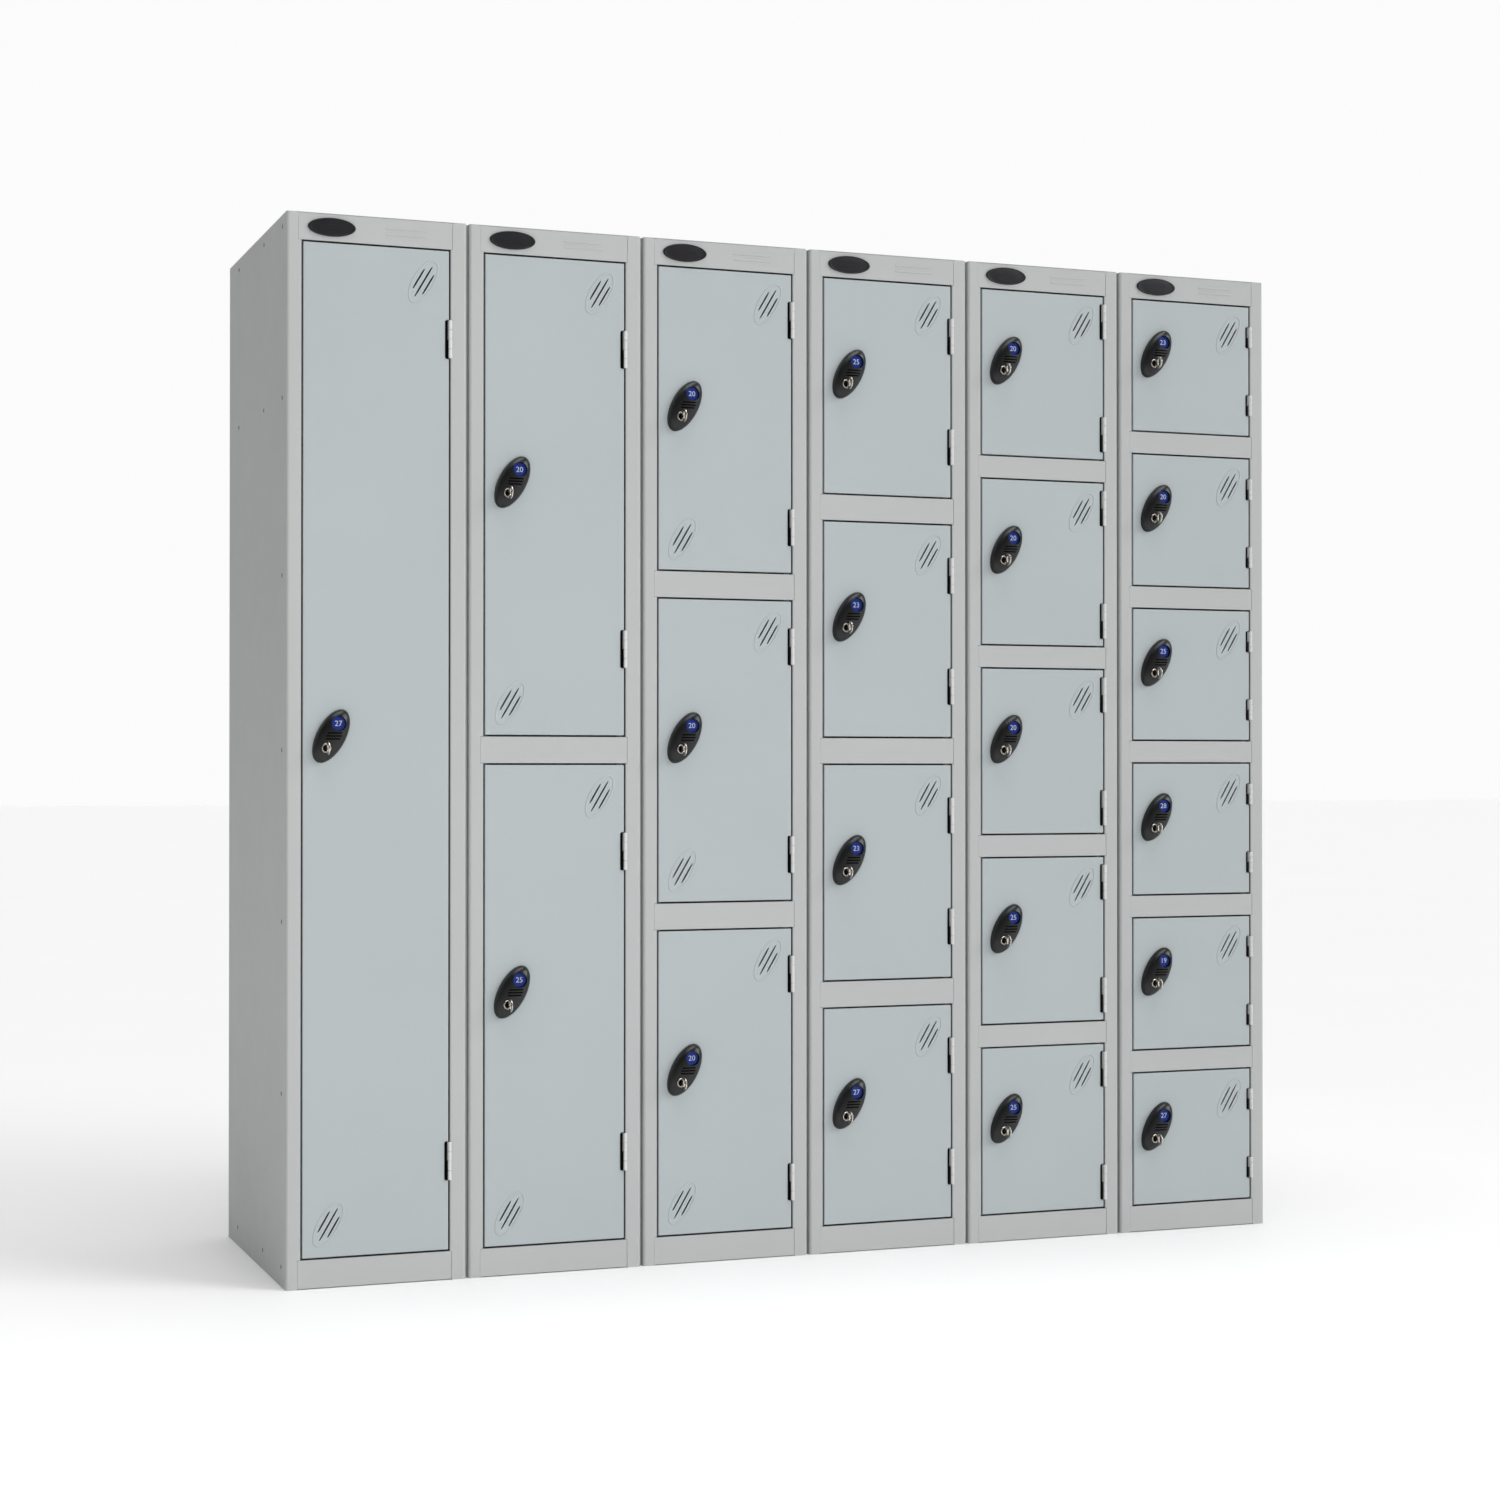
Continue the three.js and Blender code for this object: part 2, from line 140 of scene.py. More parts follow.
# Lock, around the middle of its housing
LOCK_X = 74.5
LOCK_RISE = 22
LOCK_TILT = math.radians(28.5)
HALF_LENGTH = 49
HALF_WIDTH = 24
DISC_PLACE = (10.5, 20.5)
DISC_RADIUS = 12
DISC_FACE = -9.9
RECESS_FLOOR = -8.2
FIGURE_SIZE = 12.8
GROOVES = ((3.2, 12.5, 4.8), (2, 13.5, 0), (0.4, 12.5, -4.8))  # middle, half length and height
GROOVE_HALF = 1.2
GROOVE_FLOOR = -14.8
CUT_FRONT = -24  # where everything cut into the housing begins, in front of it
KEY_DROP = 23  # how far down the housing's long axis the key sits
KEY_PLACE = (-KEY_DROP * math.sin(LOCK_TILT), -KEY_DROP * math.cos(LOCK_TILT))
PLUG_RADIUS = 8
PLUG_FACE = -19
KEY_REACH = -44
CASE_RIGHT = 118 - LOCK_X
CASE_BACK = 38
CASE_LOW = -58
CASE_HIGH = 52
CAM_FRONT = 17.5
CAM_LENGTH = 34

# Header
BADGE_X = 75
BADGE_HALF_LENGTH = 40
BADGE_HALF_HEIGHT = 15.5
RIB_LEFT = 166
RIB_RIGHT = 236
RIB_HALF = 1.6

# View and light: places in metres, turns in degrees, the lens in millimetres
CAMERA_PLACE = (-1.7653, -4.6293, 0.8568)
CAMERA_PITCH = 90.43
CAMERA_YAW = -20.709
CAMERA_LENS = 63.984
FRONT_LIGHT_PLACE = (-0.8, -3.2, 1.3)
BRIGHT_SKY = (0.643, 0.766, 0)  # the middle of the sky's bright part, behind the bank and to its right


# ---- Shapes ----
def arc(cx, cy, radius, start, end, steps):
    """Points along an arc, angles in degrees."""
    turns = [math.radians(start + (end - start) * i / steps) for i in range(steps + 1)]
    return [(cx + radius * math.cos(t), cy + radius * math.sin(t)) for t in turns]


def rounded_rectangle(x0, x1, y0, y1, radius):
    steps = 4
    return (
        arc(x1 - radius, y0 + radius, radius, -90, 0, steps)
        + arc(x1 - radius, y1 - radius, radius, 0, 90, steps)
        + arc(x0 + radius, y1 - radius, radius, 90, 180, steps)
        + arc(x0 + radius, y0 + radius, radius, 180, 270, steps)
    )


def ellipse(cx, cy, half_long, half_short, tilt, sides):
    """An ellipse whose long axis leans from the vertical towards +x."""
    points = []
    for i in range(sides):
        t = 2 * math.pi * i / sides
        u, v = half_short * math.cos(t), half_long * math.sin(t)
        points.append((
            cx + u * math.cos(tilt) + v * math.sin(tilt),
            cy - u * math.sin(tilt) + v * math.cos(tilt),
        ))
    return points


def plate(loops, thickness, edge, steps):
    """A flat sheet with holes, its edges rounded, lying in x and y with its middle at height 0."""
    curve = bpy.data.curves.new("plate", "CURVE")
    curve.dimensions = "2D"
    curve.fill_mode = "BOTH"
    for points in loops:
        spline = curve.splines.new("POLY")
        spline.points.add(len(points) - 1)
        for point, (x, y) in zip(spline.points, points):
            point.co = (x, y, 0, 1)
        spline.use_cyclic_u = True
    curve.extrude = thickness / 2 - edge
    curve.bevel_depth = edge
    curve.bevel_resolution = steps
    curve.offset = -edge
    scratch = bpy.data.objects.new("plate", curve)
    bpy.context.scene.collection.objects.link(scratch)
    graph = bpy.context.evaluated_depsgraph_get()
    mesh = bpy.data.meshes.new_from_object(scratch.evaluated_get(graph))
    shape = bmesh.new()
    shape.from_mesh(mesh)
    bmesh.ops.remove_doubles(shape, verts=shape.verts, dist=1e-4)
    bpy.data.objects.remove(scratch)
    bpy.data.curves.remove(curve)
    bpy.data.meshes.remove(mesh)
    return shape


def moved(shape, matrix):
    bmesh.ops.transform(shape, matrix=matrix, verts=shape.verts)
    return shape


def front_plate(loops, front, thickness, edge, steps=1):
    """A sheet that faces the front: its loops are in x and z."""
    shape = plate(loops, thickness, edge, steps)
    turn = Matrix.Rotation(math.radians(90), 4, "X")
    return moved(shape, Matrix.Translation((0, front + thickness / 2, 0)) @ turn)


def level_plate(loops, low, thickness, edge, steps=1):
    """A sheet that lies level: its loops are in x and y."""
    shape = plate(loops, thickness, edge, steps)
    return moved(shape, Matrix.Translation((0, 0, low + thickness / 2)))


def side_plate(loops, left, thickness, edge, steps=1):
    """A sheet that stands across x: its loops are in y and z."""
    shape = plate(loops, thickness, edge, steps)
    turn = Matrix(((0, 0, 1, 0), (1, 0, 0, 0), (0, 1, 0, 0), (0, 0, 0, 1)))
    return moved(shape, Matrix.Translation((left + thickness / 2, 0, 0)) @ turn)


def block(x0, x1, y0, y1, z0, z1, edge=0.3):
    """A box with rounded edges."""
    shape = bmesh.new()
    size = Matrix.Diagonal((x1 - x0, y1 - y0, z1 - z0, 1))
    middle = Matrix.Translation(((x0 + x1) / 2, (y0 + y1) / 2, (z0 + z1) / 2))
    bmesh.ops.create_cube(shape, size=1, matrix=middle @ size)
    edge = min(edge, 0.3 * min(x1 - x0, y1 - y0, z1 - z0))
    bmesh.ops.bevel(shape, geom=shape.edges, offset=edge, segments=2, profile=0.5, affect="EDGES")
    return shape


def turned(profile, axis, place, sides):
    """A solid of revolution: (radius, height) points that start and end on the axis, or close a ring."""
    shape = bmesh.new()
    rings = []
    for radius, height in profile:
        if radius < 1e-6:
            rings.append([shape.verts.new((0, 0, height))])
            continue
        rings.append([
            shape.verts.new((
                radius * math.cos(2 * math.pi * i / sides),
                radius * math.sin(2 * math.pi * i / sides),
                height,
            ))
            for i in range(sides)
        ])
    pairs = list(zip(rings, rings[1:]))
    if len(rings[0]) > 1:
        pairs.append((rings[-1], rings[0]))
    for a, b in pairs:
        for i in range(sides):
            j = (i + 1) % sides
            corners = [a[i % len(a)], a[j % len(a)], b[j % len(b)], b[i % len(b)]]
            shape.faces.new(list(dict.fromkeys(corners)))
    bmesh.ops.recalc_face_normals(shape, faces=shape.faces)
    turn = {
        "x": Matrix.Rotation(math.radians(90), 4, "Y"),
        "y": Matrix.Rotation(math.radians(-90), 4, "X"),
        "z": Matrix.Identity(4),
    }[axis]
    return moved(shape, Matrix.Translation(place) @ turn)


def bar(axis, place, radius, start, end, edge=0.4, sides=24):
    """A round bar with rounded ends, from start to end along its axis."""
    profile = [(0, start), (radius - edge, start), (radius, start + edge)]
    profile += [(radius, end - edge), (radius - edge, end), (0, end)]
    return turned(profile, axis, place, sides)


def ring_bar(place, radius, bore, low, high):
    """An upright knuckle with a bore."""
    edge, sides = 0.8, 28
    profile = [(bore, low), (radius - edge, low), (radius, low + edge)]
    profile += [(radius, high - edge), (radius - edge, high), (bore, high)]
    return turned(profile, "z", place, sides)


def tinted(shape, slot):
    """Gives every face of a shape one of the piece's materials."""
    for face in shape.faces:
        face.material_index = slot
    return shape


def joined(shapes):
    """One shape of several, which are used up."""
    whole = bmesh.new()
    for shape in shapes:
        scratch = bpy.data.meshes.new("scratch")
        shape.to_mesh(scratch)
        shape.free()
        whole.from_mesh(scratch)
        bpy.data.meshes.remove(scratch)
    return whole


def as_mesh(shape, name):
    """A smooth mesh of a shape, with its sharper edges kept."""
    mesh = bpy.data.meshes.new(name)
    shape.to_mesh(mesh)
    shape.free()
    mesh.polygons.foreach_set("use_smooth", [True] * len(mesh.polygons))
    mesh.set_sharp_from_angle(angle=SHARP_ANGLE)
    return mesh


def place_piece(name, mesh, origin, looks, body, nodes):
    """Puts a millimetre mesh in the frame, as a piece that rides on a body and stands for CAD nodes."""
    mesh.transform(Matrix.Translation(origin) @ Matrix.Scale(MM, 4))
    for look in looks:
        mesh.materials.append(look)
    piece = bpy.data.objects.new(name, mesh)
    bpy.context.scene.collection.objects.link(piece)
    flat = piece.modifiers.new("flat_faces", "WEIGHTED_NORMAL")
    flat.keep_sharp = True
    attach(piece, body)
    if nodes:
        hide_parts(*nodes)
    return piece


def carved(mesh, look, cutters, soft_edge):
    """A mesh with shapes cut out of it, each with the look of its cut, and the new edges softened."""
    mesh.materials.append(look)
    body = bpy.data.objects.new("body", mesh)
    bpy.context.scene.collection.objects.link(body)
    tools = []
    for cutter, cut_look in cutters:
        tool = bpy.data.objects.new("tool", as_mesh(cutter, "tool"))
        tool.data.materials.append(cut_look)
        bpy.context.scene.collection.objects.link(tool)
        cut = body.modifiers.new("cut", "BOOLEAN")
        cut.operation = "DIFFERENCE"
        cut.solver = "EXACT"
        cut.material_mode = "TRANSFER"
        cut.object = tool
        tools.append(tool)
    soften = body.modifiers.new("soften", "BEVEL")
    soften.width = soft_edge
    soften.segments = 2
    soften.limit_method = "ANGLE"
    soften.angle_limit = math.radians(35)
    graph = bpy.context.evaluated_depsgraph_get()
    result = bpy.data.meshes.new_from_object(body.evaluated_get(graph))
    for scratch in [body, *tools]:
        bpy.data.objects.remove(scratch)
    result.polygons.foreach_set("use_smooth", [True] * len(result.polygons))
    result.set_sharp_from_angle(angle=SHARP_ANGLE)
    return result


# ---- Materials ----
def new_look(name, colour, roughness, metallic=0.0):
    """A new material, its node tree and its shader."""
    look = bpy.data.materials.new(name)
    look.use_nodes = True
    shader = look.node_tree.nodes["Principled BSDF"]
    shader.inputs["Base Color"].default_value = (*colour, 1)
    shader.inputs["Roughness"].default_value = roughness
    shader.inputs["Metallic"].default_value = metallic
    return look, look.node_tree, shader


def noise(tree, scale, detail, stretch=(1, 1, 1)):
    """Noise in the frame's own space, stretched along an axis if asked."""
    place = tree.nodes.new("ShaderNodeTexCoord")
    spread = tree.nodes.new("ShaderNodeMapping")
    spread.inputs["Scale"].default_value = stretch
    pattern = tree.nodes.new("ShaderNodeTexNoise")
    pattern.inputs["Scale"].default_value = scale
    pattern.inputs["Detail"].default_value = detail
    tree.links.new(place.outputs["Object"], spread.inputs["Vector"])
    tree.links.new(spread.outputs["Vector"], pattern.inputs["Vector"])
    return pattern.outputs["Fac"]


def spread_value(tree, source, low, high):
    """A pattern as values between low and high."""
    ramp = tree.nodes.new("ShaderNodeMapRange")
    ramp.inputs["To Min"].default_value = low
    ramp.inputs["To Max"].default_value = high
    tree.links.new(source, ramp.inputs["Value"])
    return ramp.outputs["Result"]


def vary_colour(tree, shader, source, dark, light):
    """Mottles the base colour between two tones."""
    mix = tree.nodes.new("ShaderNodeMix")
    mix.data_type = "RGBA"
    mix.inputs["A"].default_value = (*dark, 1)
    mix.inputs["B"].default_value = (*light, 1)
    tree.links.new(source, mix.inputs["Factor"])
    tree.links.new(mix.outputs["Result"], shader.inputs["Base Color"])


def add_bump(tree, shader, source, strength, depth):
    bump = tree.nodes.new("ShaderNodeBump")
    bump.inputs["Strength"].default_value = strength
    bump.inputs["Distance"].default_value = depth
    tree.links.new(source, bump.inputs["Height"])
    tree.links.new(bump.outputs["Normal"], shader.inputs["Normal"])


def powder_coat(name, colour, roughness):
    """Satin powder coat on steel: a fine orange peel, and a slight cloudiness in colour and gloss."""
    look, tree, shader = new_look(name, colour, roughness)
    shader.inputs["Specular IOR Level"].default_value = 0.3
    dark = [c * 0.965 for c in colour]
    light = [min(c * 1.035, 1) for c in colour]
    vary_colour(tree, shader, noise(tree, 3.5, 4), dark, light)
    tree.links.new(
        spread_value(tree, noise(tree, 22, 2), roughness - 0.06, roughness + 0.06),
        shader.inputs["Roughness"],
    )
    add_bump(tree, shader, noise(tree, 700, 2), 0.25, 0.00012)
    return look


def moulded_plastic(name, colour, roughness, gloss=0.5):
    """Moulded plastic with a fine spark-eroded grain."""
    look, tree, shader = new_look(name, colour, roughness)
    shader.inputs["Specular IOR Level"].default_value = gloss
    dark = [c * 0.8 for c in colour]
    light = [min(c * 1.25, 1) for c in colour]
    vary_colour(tree, shader, noise(tree, 60, 3), dark, light)
    tree.links.new(
        spread_value(tree, noise(tree, 180, 3), roughness - 0.07, roughness + 0.09),
        shader.inputs["Roughness"],
    )
    add_bump(tree, shader, noise(tree, 1400, 2), 0.3, 0.00008)
    return look


def plated_metal(name, colour, roughness):
    """Nickel or zinc plate with fine brush marks and a little tarnish."""
    look, tree, shader = new_look(name, colour, roughness, 1.0)
    dark = [c * 0.72 for c in colour]
    vary_colour(tree, shader, noise(tree, 220, 4), dark, colour)
    brushed = noise(tree, 900, 2, (1, 1, 0.08))
    tree.links.new(
        spread_value(tree, brushed, roughness - 0.08, roughness + 0.12), shader.inputs["Roughness"]
    )
    add_bump(tree, shader, brushed, 0.2, 0.00005)
    return look


cabinet_paint = powder_coat("cabinet_paint", (0.43, 0.44, 0.44), 0.46)
door_paint = powder_coat("door_paint", (0.40, 0.437, 0.45), 0.42)
# Painted shade: a dark grey on the folds behind the door gaps, so the gaps read dark, and on the rivet
# heads.
painted_shade_grey = powder_coat("painted_shade_grey", (0.14, 0.145, 0.145), 0.5)
hinge_paint = powder_coat("hinge_paint", (0.62, 0.625, 0.62), 0.4)
# Painted shade: a near-black for the hinge notches, the lock's grooves and plug bore, and the keyway.
painted_shade_black = moulded_plastic("painted_shade_black", (0.002, 0.002, 0.002), 0.7, 0.08)
housing_plastic = moulded_plastic("housing_plastic", (0.003, 0.0033, 0.0035), 0.32, 0.45)
badge_plastic = moulded_plastic("badge_plastic", (0.005, 0.0047, 0.0072), 0.42, 0.35)
disc_blue = moulded_plastic("disc_blue", (0.010, 0.029, 0.2), 0.3, 0.2)
print_white = moulded_plastic("print_white", (0.5, 0.53, 0.64), 0.45)
nickel = plated_metal("nickel", (0.70, 0.66, 0.60), 0.24)
zinc = plated_metal("zinc", (0.62, 0.63, 0.64), 0.34)


# ---- Layout ----
def column_origin(number):
    """A column's left, front, lower corner in the frame."""
    return Vector(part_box(f"cabinet_{number}")[0])


def door_span(number, index):
    """The lower and upper edge of a door, in its column's space."""
    low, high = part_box(f"door_{number}_{index}")
    return low.z / MM, high.z / MM


def hinge_spans(number, low, high):
    """The lower and upper ends of a door's two hinges."""
    length = SMALL_HINGE_LENGTH if number == COLUMN_COUNT else HINGE_LENGTH
    inset = HINGE_INSET[number]
    return [
        (low + inset, low + inset + length),
        (high - inset - length, high - inset),
    ]


def openings(number):
    """The door openings of a column from the top, each as its lower and upper edge."""
    spans = [door_span(number, i + 1) for i in range(number)]
    return [(low - DOOR_GAP, high + DOOR_GAP) for low, high in spans]


# ---- Cabinets ----
def cabinet_profile(outset):
    """The cabinet's skin seen from above: left upright, side, back, side and right upright."""
    x0, x1 = -outset, WIDTH + outset
    y0, y1 = -outset, DEPTH + outset
    front = SIDE_CORNER + outset
    back = BACK_CORNER + outset
    lip = LIP_CORNER + outset
    left_lip = OPENING_LEFT - LIP_CORNER
    right_lip = OPENING_RIGHT + LIP_CORNER
    return (
        [(left_lip + lip, 2.4)]
        + arc(left_lip, LIP_CORNER, lip, 0, -90, LIP_STEPS)
        + [(RAIL_LEFT, y0)]
        + arc(x0 + front, y0 + front, front, 270, 180, 6)
        + arc(x0 + back, y1 - back, back, 180, 90, 4)
        + arc(x1 - back, y1 - back, back, 90, 0, 4)
        + arc(x1 - front, y0 + front, front, 0, -90, 6)
        + [(RAIL_RIGHT, y0)]
        + arc(right_lip, LIP_CORNER, lip, 270, 180, LIP_STEPS)
        + [(right_lip - lip, 2.4)]
    )


def flare(z):
    """How far the seams beside the header curve outwards near the top."""
    rise = min(max(z - (SKIN_TOP - FLARE), 0), FLARE)
    return FLARE - math.sqrt(FLARE**2 - rise**2)


def cabinet_skin(spans):
    """One folded sheet: the uprights are wider beside the openings and notched for the rails."""
    sides = cabinet_profile(0), cabinet_profile(-SHEET)
    last = len(sides[0]) - 1
    seam = LIP_STEPS + 2
    wide, narrow = (0, last), (seam, last - seam)
    levels, widths = [0], [narrow]
    for low, high in reversed(spans):
        levels += [low + SEAM, high - SEAM]
        widths += [wide, narrow]
    for step in range(5):
        levels.append(SKIN_TOP - FLARE + FLARE * math.sin(math.radians(18 * step)))
        widths.append(narrow)
    levels.append(SKIN_TOP)
    skin = bmesh.new()

    def corner(side, i, z):
        x, y = side[i]
        outwards = {seam: -1, last - seam: 1}.get(i, 0)
        return skin.verts.new((x + outwards * flare(z), y, z))

    grid = [[[corner(side, i, z) for i in range(last + 1)] for z in levels] for side in sides]

    def quad(*corners):
        skin.faces.new([grid[side][level][i] for side, level, i in corners])

    for band, (start, end) in enumerate(widths):
        for i in range(start, end):
            quad((0, band, i), (0, band, i + 1), (0, band + 1, i + 1), (0, band + 1, i))
            quad((1, band, i + 1), (1, band, i), (1, band + 1, i), (1, band + 1, i + 1))
        for i in (start, end):
            quad((0, band, i), (0, band + 1, i), (1, band + 1, i), (1, band, i))
    for level in range(len(levels)):
        below = set(range(*widths[level - 1])) if level > 0 else set()
        above = set(range(*widths[level])) if level < len(widths) else set()
        for i in sorted(below ^ above):
            quad((0, level, i), (0, level, i + 1), (1, level, i + 1), (1, level, i))
    bmesh.ops.delete(skin, geom=[vert for vert in skin.verts if not vert.link_faces], context="VERTS")
    bmesh.ops.recalc_face_normals(skin, faces=skin.faces)
    edges = [edge for edge in skin.edges if edge.calc_face_angle(0) > math.radians(60)]
    bmesh.ops.bevel(skin, geom=edges, offset=0.3, segments=2, profile=0.5, affect="EDGES")
    return skin


def rivet(x, y, z, axis, outward):
    """A low domed head that stands on a face, in the grey of painted shade, darker than the paint around it.
    """
    r, height = RIVET_RADIUS, RIVET_HEIGHT * outward
    profile = [(0, -0.5 * outward), (r, -0.5 * outward), (r, 0.1 * outward)]
    profile += [(0.8 * r, 0.55 * height), (0.45 * r, 0.9 * height), (0, height)]
    return tinted(turned(profile, axis, (x, y, z), 20), 2)


def side_rivets(x, outward):
    """Three rows of rivets across a side, and a column near its front edge."""
    spots = [(y, z) for z in SIDE_ROWS for y in SIDE_ROW_DEPTHS]
    spots += [(SIDE_ROW_DEPTHS[0], z) for z in FRONT_RIVET_HEIGHTS]
    return [rivet(x, y, z, "x", outward) for y, z in spots]


def back_rivets():
    """A column of rivets near each edge of the back."""
    columns = (BACK_RIVET_INSET, WIDTH - BACK_RIVET_INSET)
    return [rivet(x, DEPTH, z, "y", 1) for x in columns for z in BACK_RIVET_HEIGHTS]


def spacers(number):
    """Spacers in the gap to the next column, and the strip that closes it, rooted in the side's sheet."""
    if number == COLUMN_COUNT:
        return []
    start = WIDTH - SHEET / 2
    end = WIDTH + COLUMN_GAP - SEAM
    front, back = SPACER_INSET, DEPTH - SPACER_INSET
    heights = (SPACER_HEIGHT, HEIGHT - SPACER_HEIGHT)
    pieces = [block(start, end, front, back, z, z + SPACER_SIZE) for z in heights]
    return [*pieces, block(start, end, STRIP_FRONT, STRIP_FRONT + STRIP_DEPTH, 0, HEIGHT, 0.2)]


def coat_hook(ceiling):
    """A double hook of bent strip on a plate, with rounded tips."""
    x, y = WIDTH / 2, DEPTH / 2
    low = ceiling - HOOK_DROP
    left, right = x - HOOK_HALF_WIDTH, x + HOOK_HALF_WIDTH
    base = rounded_rectangle(left - 2, right + 2, y - HOOK_REACH, y + HOOK_REACH, 5)
    stem = rounded_rectangle(left, right, low + 1, ceiling - 1, 2)
    shapes = [
        level_plate([base], ceiling - 2.5, 2.5, 0.6),
        front_plate([stem], y - 1.2, 2.4, 0.6),
    ]
    for side in (-1, 1):
        bend = arc(0, 12, 12, 270, 360, 8)
        outline = [(0, -1.2), *[(px, pz - 1.2) for px, pz in bend[1:]], (12, 20), (9.6, 20)]
        outline += [(px * 0.8, (pz - 12) * 0.8 + 12) for px, pz in reversed(bend)]
        loop = [(y + side * (px + 11), low + 1.5 + pz) for px, pz in outline]
        flat = [(y, low), (y + side * 12, low), (y + side * 12, low + 2.4), (y, low + 2.4)]
        shapes.append(side_plate([loop], left, right - left, 0.5))
        shapes.append(side_plate([flat], left, right - left, 0.5))
    return [tinted(shape, 1) for shape in shapes]


def cabinet_shapes(number):
    """The folded skin of a cabinet, its top and feet, and what is fixed to them."""
    top = level_plate([
        arc(SIDE_CORNER, SIDE_CORNER, SIDE_CORNER, 180, 270, 6)
        + arc(WIDTH - SIDE_CORNER, SIDE_CORNER, SIDE_CORNER, 270, 360, 6)
        + arc(WIDTH - BACK_CORNER, DEPTH - BACK_CORNER, BACK_CORNER, 0, 90, 4)
        + arc(BACK_CORNER, DEPTH - BACK_CORNER, BACK_CORNER, 90, 180, 4)
    ], HEIGHT - SHEET, SHEET, 0.45, 2)
    shapes = [cabinet_skin(openings(number)), top]
    feet = (SHEET, WIDTH - SHEET - FOOT_FLANGE)
    shapes += [block(x, x + FOOT_FLANGE, 2, DEPTH - 2, 0, SHEET) for x in feet]
    shapes += spacers(number) + back_rivets()
    if number == 1:
        shapes += side_rivets(0, -1)
    if number == COLUMN_COUNT:
        shapes += side_rivets(WIDTH, 1)
    if number == 2:
        shapes += coat_hook(HEIGHT - SHEET)
    return shapes


def make_cabinet(number):
    mesh = as_mesh(joined(cabinet_shapes(number)), f"cabinet_shell_{number}")
    looks = [cabinet_paint, zinc, painted_shade_grey]
    name = f"cabinet_shell_{number}"
    place_piece(name, mesh, column_origin(number), looks, "bank", [f"cabinet_{number}"])


# ---- Ladder frames ----
def face(low, high):
    """The face of a rail or plinth between the uprights."""
    left, right = RAIL_LEFT + SEAM, RAIL_RIGHT - SEAM
    loop = rounded_rectangle(left, right, low, high, FACE_CORNER)
    return front_plate([loop], FACE_RECESS, SHEET, 0.3)


def header_face():
    """The header: its upper corners flare outwards."""
    left, right = RAIL_LEFT + SEAM, RAIL_RIGHT - SEAM
    low, high = HEADER_LOW, HEIGHT - SHEET - SEAM
    corner = FACE_CORNER
    loop = arc(left + corner, low + corner, corner, 180, 270, 4)
    loop += arc(right - corner, low + corner, corner, 270, 360, 4)
    loop += arc(right + FLARE, high - FLARE, FLARE, 180, 90, 5)
    loop += arc(left - FLARE, high - FLARE, FLARE, 90, 0, 5)
    return front_plate([loop], FACE_RECESS, SHEET, 0.2)


def fold(z):
    """The fold that runs back from the edge of a rail, in the dark grey of painted shade."""
    inset = STILE_INSET + SHEET
    shape = block(OPENING_LEFT + inset, OPENING_RIGHT - inset, 0.8, STOP_DEPTH, z, z + SHEET)
    return tinted(shape, 2)


def shelf(top):
    """The floor of a compartment, between the cabinet's walls."""
    inset = SHEET + SEAM
    return block(inset, WIDTH - inset, STOP_DEPTH - SHEET, DEPTH - inset, top - SHEET, top)


def stile(edge, outward, low, high):
    """The fold behind an upright's edge, in the dark grey of painted shade, and the door stop on it."""
    inner = edge - outward * STILE_INSET
    outer = inner + outward * SHEET
    lip = inner - outward * STOP_LIP
    z0, z1 = low - SHEET / 2, high + SHEET / 2
    front = SHEET + SEAM
    return [
        tinted(block(min(inner, outer), max(inner, outer), front, STOP_DEPTH, z0, z1), 2),
        block(min(lip, outer), max(lip, outer), STOP_DEPTH - SHEET, STOP_DEPTH, z0, z1),
    ]


def knuckles(low, high):
    """Two turns of hinge knuckle, with a fine joint between them."""
    middle = (low + high) / 2
    place = (HINGE_X, HINGE_Y, 0)
    bore = PIN_RADIUS + 0.2
    return [
        ring_bar(place, KNUCKLE_RADIUS, bore, low, middle - 0.3),
        ring_bar(place, KNUCKLE_RADIUS, bore, middle + 0.3, high),
    ]


def fixed_hinge(low, high):
    """The lower knuckles of a hinge, their leaf in the door gap, and the pin."""
    middle = (low + high) / 2
    leaf_right = OPENING_RIGHT - SEAM
    leaf = block(leaf_right - SHEET, leaf_right, HINGE_Y, 4, low, middle - HINGE_JOINT)
    pin = bar("z", (HINGE_X, HINGE_Y, 0), PIN_RADIUS, low - 0.5, high + 0.5)
    return [tinted(shape, 3) for shape in (*knuckles(low, middle - HINGE_JOINT), leaf, pin)]


def header_relief():
    """Plain pressed ribs on the right of the header."""
    middle = (HEADER_LOW + HEIGHT) / 2
    ribs = []
    for z in (middle + 5, middle - 5):
        loop = rounded_rectangle(RIB_LEFT, RIB_RIGHT, z - RIB_HALF, z + RIB_HALF, 1.5)
        ribs.append(front_plate([loop], FACE_RECESS - 0.8, 1.2, 0.5, 2))
    return ribs


def coat_rail():
    """The coat rail under the hat shelf, on two hangers."""
    y, z = DEPTH / 2, HAT_SHELF - RAIL_DROP
    left, right = RAIL_INSET, WIDTH - RAIL_INSET
    shapes = [tinted(bar("x", (0, y, z), RAIL_RADIUS, left, right, 0.8, 32), 1)]
    for x in (left, right - HANGER):
        drop = rounded_rectangle(y - HANGER_HALF, y + HANGER_HALF, z - HANGER_HALF, HAT_SHELF - 0.5, 11)
        shapes.append(side_plate([drop], x, HANGER, 0.5))
    return shapes


